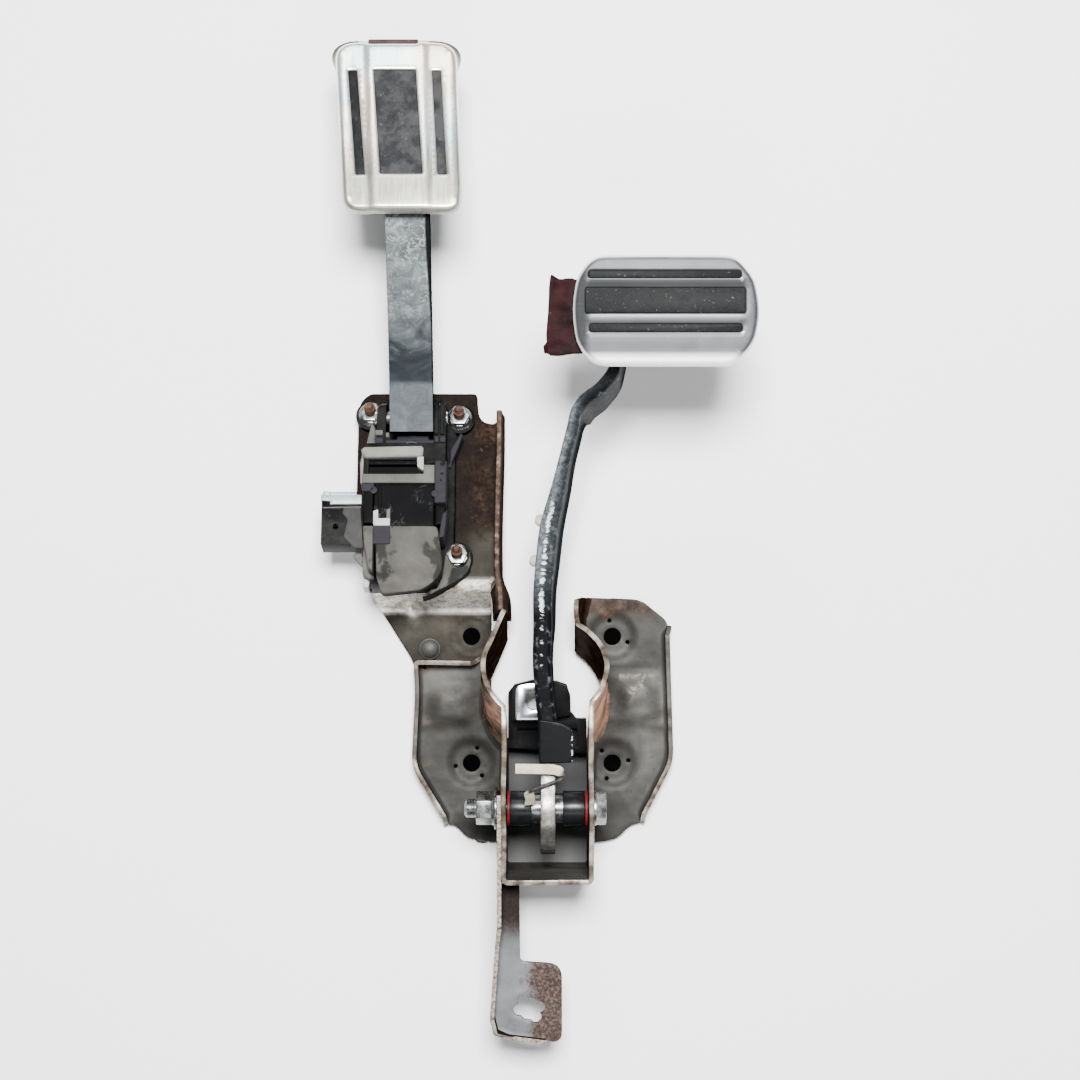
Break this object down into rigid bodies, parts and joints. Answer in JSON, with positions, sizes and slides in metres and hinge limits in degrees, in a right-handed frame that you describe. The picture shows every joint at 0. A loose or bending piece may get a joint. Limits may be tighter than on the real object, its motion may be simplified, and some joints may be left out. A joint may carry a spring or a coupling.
{
  "type": "car pedal box",
  "caption": "Pressed-steel car pedal box with a hanging sprung brake pedal, an electronic accelerator pedal module and stainless-trimmed pads.",
  "frame": {"origin": "centre of the four bulkhead bolt holes, on the mounting plane", "axes": "+X across the car from the accelerator towards the brake pad, +Y from the brake pivot towards the pads, +Z away from the bulkhead; the part lies on its bulkhead side"},
  "size_m": [0.2327, 0.5463, 0.1303],
  "materials": {
    "bracket_steel": "thin grey primer over pressed steel, browned with age",
    "rust_steel": "bare pressed steel with light rust",
    "grey_steel": "dull bare steel",
    "zinc": "zinc plated",
    "rust_stud": "rusted thread",
    "black_paint": "black paint, scratched on the edges",
    "red_paint": "dark red paint, cracked",
    "stainless": "brushed stainless sheet",
    "rubber": "moulded rubber",
    "black_plastic": "glass-filled nylon, dusty",
    "arm_plastic": "glass-filled nylon, scuffed",
    "grey_plastic": "dusty moulded plastic",
    "pale_plastic": "dusty pale plastic",
    "ivory_nylon": "natural nylon",
    "red_rubber": "red sealing rubber",
    "tin": "plated contact",
    "board": "solder-masked laminate",
    "magnet": "sintered magnet"
  },
  "bodies": {
    "bracket": {"main_bracket": "bracket_steel", "accelerator_bracket": "rust_steel", "tail_bracket": "rust_steel", "locating_rivet": "rust_steel", "switch_holder": "black_plastic", "switch_plate": "zinc", "pivot_bolt": "zinc", "pivot_nut": "zinc", "pivot_washers": "zinc", "pivot_sleeve": "grey_steel", "seal_rings": "red_rubber", "accelerator_studs": "rust_stud", "accelerator_nuts": "zinc", "pedal_housing": "black_plastic", "housing_cover": "grey_plastic", "spring_cap": "pale_plastic", "connector_shell": "black_plastic", "connector_lock": "pale_plastic", "connector_terminals": "tin", "sensor_board": "board", "cover_screws": "zinc", "accelerator_pin": "zinc", "stop_buffer": "rubber", "return_spring_outer": "zinc", "return_spring_inner": "zinc"},
    "brake_pedal": {"brake_arm": "black_paint", "brake_tab": "black_paint", "brake_lever": "zinc", "brake_hub_tube": "zinc", "brake_spacers": "black_plastic", "brake_bushes": "ivory_nylon", "brake_foot_plate": "red_paint", "brake_pad_rubber": "rubber", "brake_pad_trim": "stainless", "brake_spring": "ivory_nylon", "arm_clip": "ivory_nylon"},
    "accelerator_pedal": {"accelerator_arm": "arm_plastic", "accelerator_bushes": "ivory_nylon", "spring_seat": "ivory_nylon", "sensor_magnet": "magnet", "accelerator_pad_base": "black_plastic", "accelerator_pad_rubber": "rubber", "accelerator_pad_trim": "stainless"}
  },
  "joints": [
    {"name": "brake_pivot", "type": "hinge", "parent": "bracket", "child": "brake_pedal", "pos_m": [0.003, -0.0554, 0.055], "axis": [-1, 0, 0], "range_deg": [0, 15], "stiffness_Nm_per_rad": 4, "springref_deg": -40.11},
    {"name": "accelerator_pivot", "type": "hinge", "parent": "bracket", "child": "accelerator_pedal", "pos_m": [-0.072, 0.15875, 0.02967], "axis": [-1, 0, 0], "range_deg": [0, 15], "stiffness_Nm_per_rad": 6, "springref_deg": -22.92, "deforming": ["return_spring_outer", "return_spring_inner"]}
  ]
}
